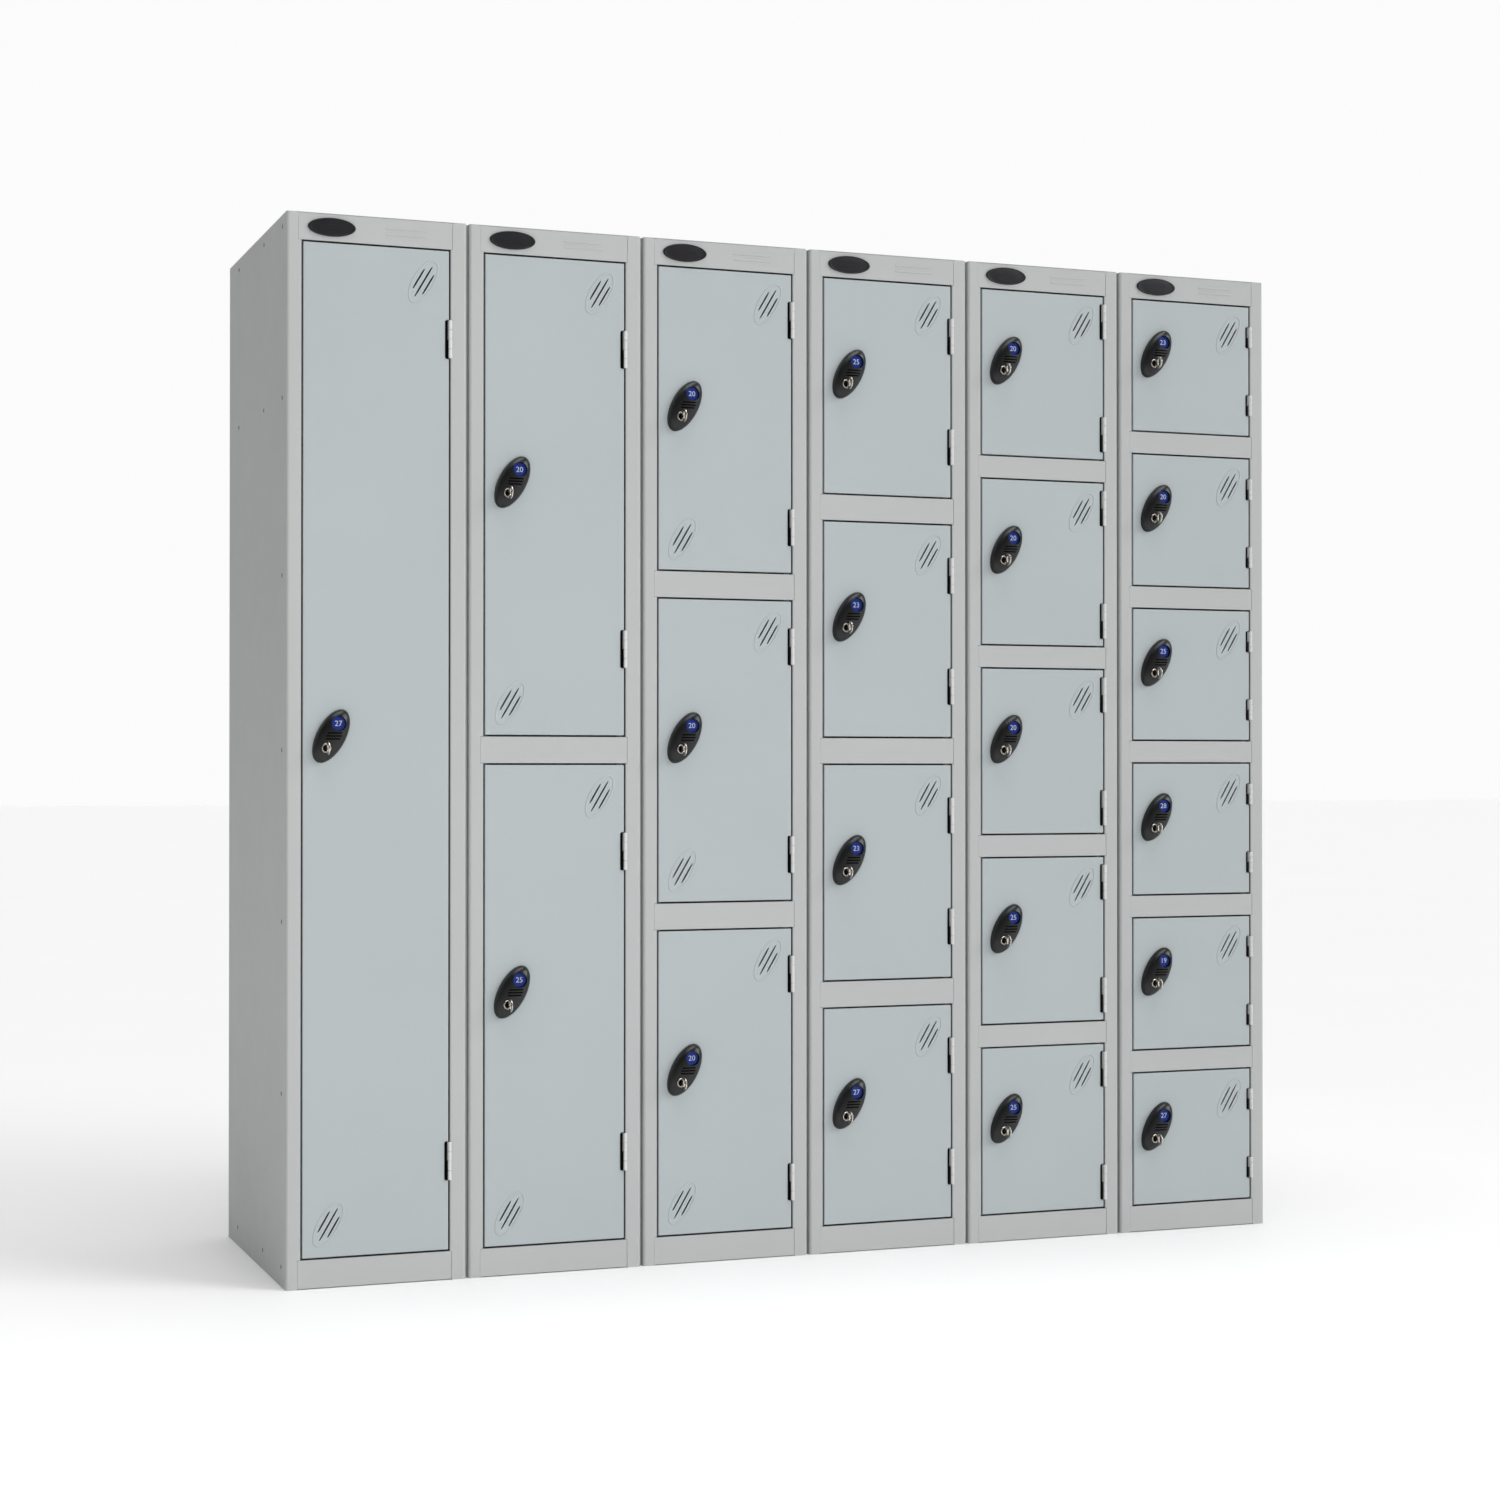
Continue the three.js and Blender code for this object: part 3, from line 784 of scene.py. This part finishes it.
def ladder_shapes(number):
    """A ladder frame with its shelves and fixed hinges, and the coat rail or hook of columns 1 and 2."""
    spans = openings(number)
    shapes = [header_face(), fold(HEADER_LOW)]
    shapes += [face(SHEET + SEAM, PLINTH_HIGH), fold(SHEET + SEAM), fold(PLINTH_HIGH - SHEET)]
    shapes += [shelf(PLINTH_HIGH), *header_relief()]
    for (above_low, _), (_, below_high) in zip(spans, spans[1:]):
        shapes += [face(below_high, above_low), fold(below_high), fold(above_low - SHEET)]
        shapes.append(shelf(above_low))
    for low, high in spans:
        shapes += stile(OPENING_LEFT, -1, low, high) + stile(OPENING_RIGHT, 1, low, high)
        for hinge_low, hinge_high in hinge_spans(number, low + DOOR_GAP, high - DOOR_GAP):
            shapes += fixed_hinge(hinge_low, hinge_high)
    if number == 1:
        shapes += [shelf(HAT_SHELF), *coat_rail()]
    if number == 2:
        shapes += coat_hook(spans[0][0] - SHEET)
    return shapes


def make_ladder_frame(number):
    name = f"frame_and_shelves_{number}"
    mesh = as_mesh(joined(ladder_shapes(number)), name)
    looks = [cabinet_paint, zinc, painted_shade_grey, hinge_paint]
    nodes = [f"ladder_frame_{number}"]
    place_piece(name, mesh, column_origin(number), looks, "bank", nodes)


# ---- Badges ----
def make_badge(number):
    """A domed black oval with a raised rim and three plain raised bars."""
    name = f"badge_{number}"
    sides = 64
    rings = []
    steps = [(1, -0.3), (1, -2.0), (0.985, -2.7), (0.95, -3.1), (0.91, -3.0), (0.885, -2.55)]
    steps += [(0.7, -2.9), (0.4, -3.2)]
    shape = bmesh.new()
    for share, y in steps:
        loop = ellipse(0, 0, BADGE_HALF_LENGTH * share, BADGE_HALF_HEIGHT * share, math.pi / 2, sides)
        rings.append([shape.verts.new((x, y, z)) for x, z in loop])
    for a, b in zip(rings, rings[1:]):
        for i in range(sides):
            j = (i + 1) % sides
            shape.faces.new((a[i], a[j], b[j], b[i]))
    shape.faces.new(rings[0])
    shape.faces.new(rings[-1])
    bmesh.ops.recalc_face_normals(shape, faces=shape.faces)
    lines = [
        front_plate([rounded_rectangle(-20, 20, z - 0.8, z + 0.8, 0.7)], -3.5, 0.8, 0.3)
        for z in (3.2, 0, -3.2)
    ]
    mesh = as_mesh(joined([shape, *lines]), name)
    origin = column_origin(number) + Vector((BADGE_X, 0, (HEADER_LOW + HEIGHT) / 2)) * MM
    place_piece(name, mesh, origin, [badge_plastic], "bank", [f"header_badge_{number}"])


# ---- Doors ----
def door_outline(low, high, spans, inset):
    """A door's outline, notched at the hinges."""
    left = OPENING_LEFT + DOOR_GAP + inset
    right = OPENING_RIGHT - DOOR_GAP - inset
    corner = 1.5
    notch = right - NOTCH
    bottom, top = low + inset, high - inset
    points = arc(left + corner, bottom + corner, corner, 180, 270, 3)
    points += arc(right - corner, bottom + corner, corner, 270, 360, 3)
    for z0, z1 in spans:
        z0, z1 = z0 - 1 - inset, z1 + 1 + inset
        points += [(right, z0)]
        points += arc(notch + 3, z0 + 3, 3, 270, 180, 4)
        points += arc(notch + 3, z1 - 3, 3, 180, 90, 4)
        points += [(right, z1)]
    points += arc(right - corner, top - corner, corner, 0, 90, 3)
    return points + arc(left + corner, top - corner, corner, 90, 180, 3)


def vent_slot(x, z, length):
    """A slanted slot that narrows to rounded ends."""
    along = (math.sin(VENT_TILT), math.cos(VENT_TILT))
    across = (along[1], -along[0])
    half, width = length / 2, VENT_WIDTH / 2
    shape = [(1, 0), (0.985, 0.4), (0.9, 0.7), (0.6, 1), (-0.6, 1), (-0.9, 0.7), (-0.985, 0.4), (-1, 0)]
    shape += [(-a, -b) for a, b in shape[1:-1]]
    return [
        (x + a * half * along[0] + b * width * across[0], z + a * half * along[1] + b * width * across[1])
        for a, b in shape
    ]


def vents(number, low, high):
    """The middles of a door's sets of slots."""
    right = OPENING_RIGHT - DOOR_GAP
    left = OPENING_LEFT + DOOR_GAP
    places = [(right - VENT_SIDE, high - VENT_END)]
    if number <= 3:
        places.append((left + VENT_SIDE, low + VENT_END))
    return places


def vent_slots(x, z):
    """A set of three slots, the middle one longer."""
    across = (-math.cos(VENT_TILT), math.sin(VENT_TILT))
    slots = []
    for side in (-1, 0, 1):
        shift = side * VENT_SPACING
        length = OUTER_SLOT if side else MIDDLE_SLOT
        slots.append(vent_slot(x + shift * across[0], z + shift * across[1], length))
    return slots


def embossed_ring(x, z):
    """A low raised line around a set of slots."""
    outer = ellipse(x, z, *RING_OUTER, VENT_TILT, 72)
    inner = ellipse(x, z, *RING_INNER, VENT_TILT, 72)
    return front_plate([outer, inner], -0.8, 1.6, 0.79, 4)


def door_rim(low, high, spans):
    """The door's rounded edges and the folds behind them, notched at the hinges."""
    edge = DOOR_EDGE
    turns = [math.radians(90 * i / 4) for i in range(5)]
    profile = [(edge * (1 - math.sin(t)), edge * (1 - math.cos(t))) for t in turns]
    profile += [(0, DOOR_FOLD - 0.4), (0.35, DOOR_FOLD), (0.95, DOOR_FOLD), (1.3, DOOR_FOLD - 0.4), (1.3, 1)]
    rim = bmesh.new()
    rings = [
        [rim.verts.new((x, y, z)) for x, z in door_outline(low, high, spans, inset)]
        for inset, y in profile
    ]
    for a, b in zip(rings, [*rings[1:], rings[0]]):
        for i in range(len(a)):
            j = (i + 1) % len(a)
            rim.faces.new((a[i], a[j], b[j], b[i]))
    bmesh.ops.recalc_face_normals(rim, faces=rim.faces)
    return rim


def hinge_shade_plate(low, high):
    """A black plate behind a hinge notch: painted shade in the recess."""
    right = OPENING_RIGHT - DOOR_GAP
    return block(right - NOTCH - 1, right - 0.4, 5, 6, low - 2, high + 2)


def door_hinge(low, high):
    """The upper knuckles of a hinge and the leaf that holds them to the door."""
    middle = (low + high) / 2 + HINGE_JOINT
    right = OPENING_RIGHT - DOOR_GAP
    leaf = block(right - SHEET, right, HINGE_Y, 5.5, middle, high)
    return [*knuckles(middle, high), leaf]


def coin_case():
    """The case behind the door with its cover and screws, and the sleeve of the plug."""
    left = KEY_PLACE[0] + 11
    loop = rounded_rectangle(left, CASE_RIGHT, CASE_LOW, CASE_HIGH, 3)
    cover = rounded_rectangle(left + 3, CASE_RIGHT - 3, CASE_LOW + 3, CASE_HIGH - 3, 2)
    slot = rounded_rectangle(CASE_RIGHT - 16, CASE_RIGHT - 13, 8, 38, 1.4)
    cup = rounded_rectangle(left + 8, CASE_RIGHT - 10, CASE_LOW + 8, CASE_LOW + 34, 4)
    sleeve = [(8.8, 1), (12, 1), (12, STOP_DEPTH - 1), (11, STOP_DEPTH), (8.8, STOP_DEPTH)]
    key_x, key_z = KEY_PLACE
    shapes = [
        front_plate([loop], 0.8, CASE_BACK - 4, 1.0, 2),
        front_plate([cover, slot, cup], CASE_BACK - 3.6, 3.4, 0.5, 2),
        turned(sleeve, "y", (key_x, 0, key_z), 32),
    ]
    for x in (left + 7, CASE_RIGHT - 7):
        for z in (CASE_LOW + 6, CASE_HIGH - 6):
            shapes.append(tinted(bar("y", (x, 0, z), 2.6, CASE_BACK - 1, CASE_BACK - 0.05, 0.3, 18), 1))
    return shapes


def make_door(number, index):
    """A door: face with slots and rings, rim, hinge knuckles and black plates of painted shade behind its
    notches.
    """
    low, high = door_span(number, index)
    spans = hinge_spans(number, low, high)
    slots = [slot for place in vents(number, low, high) for slot in vent_slots(*place)]
    face_loops = [door_outline(low, high, spans, DOOR_EDGE - 0.3), *slots]
    shapes = [front_plate(face_loops, 0, DOOR_FACE, 0.3), door_rim(low, high, spans)]
    shapes += [embossed_ring(x, z) for x, z in vents(number, low, high)]
    for hinge_low, hinge_high in spans:
        shapes += [tinted(shape, 2) for shape in door_hinge(hinge_low, hinge_high)]
        # A black plate of painted shade behind the hinge notch.
        shapes.append(tinted(hinge_shade_plate(hinge_low, hinge_high), 1))
    name = f"door_panel_{number}_{index}"
    mesh = as_mesh(joined(shapes), name)
    nodes = [f"door_{number}_{index}"]
    looks = [door_paint, painted_shade_black, hinge_paint]
    body = f"door_{number}_{index}"
    place_piece(name, mesh, column_origin(number), looks, body, nodes)


# ---- Locks ----
def housing_dome():
    """The domed oval in front of the door, as shares of its half size and the height above the door."""
    profile = [
        (0.0, 18.0), (0.14, 17.95), (0.28, 17.7), (0.42, 17.2), (0.55, 16.4), (0.67, 15.3), (0.77, 13.9),
        (0.85, 12.2), (0.91, 10.2), (0.955, 7.8), (0.982, 5.2), (0.995, 2.6), (1.0, 0.6), (1.0, -0.4),
    ]
    sides = 96
    shape = bmesh.new()
    top = shape.verts.new((0, -profile[0][1], 0))
    rings = []
    for share, height in profile[1:]:
        loop = ellipse(0, 0, HALF_LENGTH * share, HALF_WIDTH * share, LOCK_TILT, sides)
        rings.append([shape.verts.new((x, -height, z)) for x, z in loop])
    for i in range(sides):
        j = (i + 1) % sides
        shape.faces.new((top, rings[0][i], rings[0][j]))
        for a, b in zip(rings, rings[1:]):
            shape.faces.new((a[i], a[j], b[j], b[i]))
    shape.faces.new(rings[-1])
    bmesh.ops.recalc_face_normals(shape, faces=shape.faces)
    return shape


def housing_cutters():
    """The recess for the number disc, three grooves and the bore for the plug; the grooves and the bore are
    lined in black painted shade.
    """
    disc_x, disc_z = DISC_PLACE
    key_x, key_z = KEY_PLACE
    disc = bar("y", (disc_x, 0, disc_z), DISC_RADIUS + 0.4, CUT_FRONT, RECESS_FLOOR, 0.1, 64)
    plug = bar("y", (key_x, 0, key_z), PLUG_RADIUS + 0.5, CUT_FRONT, -6, 0.1, 48)
    cutters = [(disc, housing_plastic), (plug, painted_shade_black)]
    for middle, half, z in GROOVES:
        loop = rounded_rectangle(middle - half, middle + half, z - GROOVE_HALF, z + GROOVE_HALF, 1.15)
        cutters.append((front_plate([loop], CUT_FRONT, GROOVE_FLOOR - CUT_FRONT, 0.02), painted_shade_black))
    return cutters


def disc_shapes(number):
    """A flat blue disc at the bottom of the recess, with white figures on it."""
    x, z = DISC_PLACE
    r = DISC_RADIUS
    back = RECESS_FLOOR - 0.1
    profile = [(0, back), (r, back), (r, DISC_FACE + 0.3), (r - 0.3, DISC_FACE), (0, DISC_FACE)]
    disc = turned(profile, "y", (x, 0, z), 64)
    text = bpy.data.curves.new("figures", "FONT")
    text.body = number
    text.align_x = "CENTER"
    text.align_y = "CENTER"
    text.size = FIGURE_SIZE
    text.offset = -0.02
    text.extrude = 0.12
    text.resolution_u = 4
    scratch = bpy.data.objects.new("figures", text)
    bpy.context.scene.collection.objects.link(scratch)
    graph = bpy.context.evaluated_depsgraph_get()
    mesh = bpy.data.meshes.new_from_object(scratch.evaluated_get(graph))
    figures = bmesh.new()
    figures.from_mesh(mesh)
    bmesh.ops.remove_doubles(figures, verts=figures.verts, dist=1e-4)
    bpy.data.objects.remove(scratch)
    bpy.data.curves.remove(text)
    bpy.data.meshes.remove(mesh)
    turn = Matrix.Rotation(math.radians(90), 4, "X")
    return [disc, tinted(moved(figures, Matrix.Translation((x, DISC_FACE - 0.1, z)) @ turn), 1)]


def key_outline():
    """The key seen from the side, in y and z: a round bow, a shoulder and the start of the blade."""
    reach = 12.5
    bow_y = KEY_REACH + reach
    bow = [(bow_y - reach * math.cos(t), 11 * math.sin(t)) for t in
           [math.radians(-140 + 280 * i / 28) for i in range(29)]]
    return [*bow, (-20.6, 4.2), (-19.6, 3.6), (-12, 3.6), (-12, -3.6), (-19.6, -3.6), (-20.6, -4.2)]


def key_shapes():
    """The plug, the key in it and the cam behind the door, around the plug's axis."""
    r = PLUG_RADIUS
    plug = [(0, -16.6), (r - 2.3, -16.6), (r - 2.2, -18.4), (r - 1.6, PLUG_FACE), (r - 0.6, PLUG_FACE)]
    plug += [(r, PLUG_FACE + 0.7), (r, CAM_FRONT), (0, CAM_FRONT)]
    hole = ellipse(KEY_REACH + 10, 0, 6, 5, 0, 28)
    cam = arc(0, 0, 8, 0, 180, 10) + arc(0, 6 - CAM_LENGTH, 6, 180, 360, 8)
    nut = [(7.2 * math.cos(math.radians(60 * i)), 7.2 * math.sin(math.radians(60 * i))) for i in range(6)]
    return [
        turned(plug, "y", (0, 0, 0), 48),
        side_plate([key_outline(), hole], -1.1, 2.2, 0.45, 2),
        # Painted shade: a black disc at the bottom of the recess in the plug's face.
        tinted(bar("y", (0, 0, 0), r - 2.4, -17.2, -16, 0.3, 32), 1),
        tinted(front_plate([cam], CAM_FRONT, 2, 0.4, 2), 2),
        tinted(front_plate([nut], CAM_FRONT + 1.9, 3.6, 0.5, 2), 2),
    ]


def centred(name, parts, number, lock_z, place, looks, body, nodes=()):
    """A piece of a lock, drawn around a place given from the middle of the housing."""
    origin = column_origin(number) + Vector((LOCK_X + place[0], 0, lock_z + place[1])) * MM
    return place_piece(name, parts, origin, looks, body, nodes)


housing_mesh = carved(as_mesh(housing_dome(), "housing"), housing_plastic, housing_cutters(), 0.35)


def make_lock(number, index):
    """A lock: housing, number disc and coin case on the door, and the key with its plug and cam."""
    low, high = door_span(number, index)
    lock_z = (low + high) / 2 + LOCK_RISE
    place = f"{number}_{index}"
    body = f"door_{place}"
    centre = (0, 0)
    centred(f"lock_housing_{place}", housing_mesh.copy(), number, lock_z, centre, [], body)
    disc = as_mesh(joined(disc_shapes(DISC_NUMBERS[number][index - 1])), "disc")
    centred(f"number_disc_{place}", disc, number, lock_z, centre,
            [disc_blue, print_white], body)
    case = as_mesh(joined(coin_case()), "case")
    centred(f"coin_case_{place}", case, number, lock_z, centre, [housing_plastic, zinc], body)
    key = as_mesh(joined(key_shapes()), "key")
    centred(f"key_plug_and_cam_{place}", key, number, lock_z, KEY_PLACE,
            [nickel, painted_shade_black, zinc], f"key_{place}", [f"key_and_cam_{place}"])


# ---- Camera, light and floor ----
def make_camera():
    """Standing to the left of the bank, a little below the middle of its height."""
    data = bpy.data.cameras.new("camera")
    data.lens = CAMERA_LENS
    data.sensor_width = 36
    camera = bpy.data.objects.new("camera", data)
    camera.location = CAMERA_PLACE
    camera.rotation_euler = (math.radians(CAMERA_PITCH), 0, math.radians(CAMERA_YAW))
    bpy.context.scene.collection.objects.link(camera)
    bpy.context.scene.camera = camera


def link_light(name, data, location, target):
    """Puts a light in the scene, aimed at a place."""
    light = bpy.data.objects.new(name, data)
    light.location = location
    aim = Vector(target) - Vector(location)
    light.rotation_euler = aim.to_track_quat("-Z", "Y").to_euler()
    bpy.context.scene.collection.objects.link(light)
    return light


def make_front_light():
    """A tall soft box in front of the left end, so the light falls off to the right.

    It doesn't show in reflections, which keeps the left of the black housings dark.
    """
    data = bpy.data.lights.new("front_light", "AREA")
    data.shape = "RECTANGLE"
    data.size = 1.4
    data.size_y = 2.4
    data.energy = 22
    light = link_light("front_light", data, FRONT_LIGHT_PLACE, (-0.7, 0, 1.1))
    light.visible_camera = False
    light.visible_glossy = False


def sun_light(name, location, energy, softness):
    data = bpy.data.lights.new(name, "SUN")
    data.energy = energy
    data.angle = math.radians(softness)
    link_light(name, data, location, (0, 0, 0))


def smooth_fade(tree, source, source_range, result_range):
    fade = tree.nodes.new("ShaderNodeMapRange")
    fade.interpolation_type = "SMOOTHSTEP"
    fade.inputs["From Min"].default_value, fade.inputs["From Max"].default_value = source_range
    fade.inputs["To Min"].default_value, fade.inputs["To Max"].default_value = result_range
    tree.links.new(source, fade.inputs["Value"])
    return fade.outputs["Result"]


def make_sky():
    """Pale behind the lockers and to their right, dimmer elsewhere and overhead."""
    world = bpy.data.worlds.new("studio")
    world.use_nodes = True
    tree = world.node_tree
    background = tree.nodes["Background"]
    background.inputs["Color"].default_value = (1, 1, 1, 1)
    place = tree.nodes.new("ShaderNodeTexCoord")
    parts = tree.nodes.new("ShaderNodeSeparateXYZ")
    tree.links.new(place.outputs["Generated"], parts.inputs["Vector"])
    behind = tree.nodes.new("ShaderNodeVectorMath")
    behind.operation = "DOT_PRODUCT"
    behind.inputs[1].default_value = BRIGHT_SKY
    tree.links.new(place.outputs["Generated"], behind.inputs[0])
    round_about = smooth_fade(tree, behind.outputs["Value"], (0.5, 0.8), (0.35, 0.97))
    upwards = smooth_fade(tree, parts.outputs["Z"], (0.3, 0.5), (1, 0.2))
    both = tree.nodes.new("ShaderNodeMath")
    both.operation = "MULTIPLY"
    tree.links.new(round_about, both.inputs[0])
    tree.links.new(upwards, both.inputs[1])
    tree.links.new(both.outputs["Value"], background.inputs["Strength"])
    bpy.context.scene.world = world


def make_floor():
    """A plain pale floor."""
    look, tree, shader = new_look("pale_floor", (0.93, 0.93, 0.93), 0.6)
    vary_colour(tree, shader, noise(tree, 1.2, 3), (0.92, 0.92, 0.92), (0.94, 0.94, 0.94))
    half = 60
    mesh = bpy.data.meshes.new("floor")
    corners = [(-half, -half, 0), (half, -half, 0), (half, half, 0), (-half, half, 0)]
    mesh.from_pydata(corners, [], [(0, 1, 2, 3)])
    mesh.materials.append(look)
    floor = bpy.data.objects.new("floor", mesh)
    bpy.context.scene.collection.objects.link(floor)


for column in range(1, COLUMN_COUNT + 1):
    make_cabinet(column)
    make_ladder_frame(column)
    make_badge(column)
    for door in range(1, column + 1):
        make_door(column, door)
        make_lock(column, door)
make_camera()
make_front_light()
sun_light("side_light", (4, -3, 2.4), 1.5, 35)
sun_light("top_light", (0, -0.5, 6), 2.2, 50)
make_sky()
make_floor()
bpy.context.scene.view_settings.view_transform = "Standard"
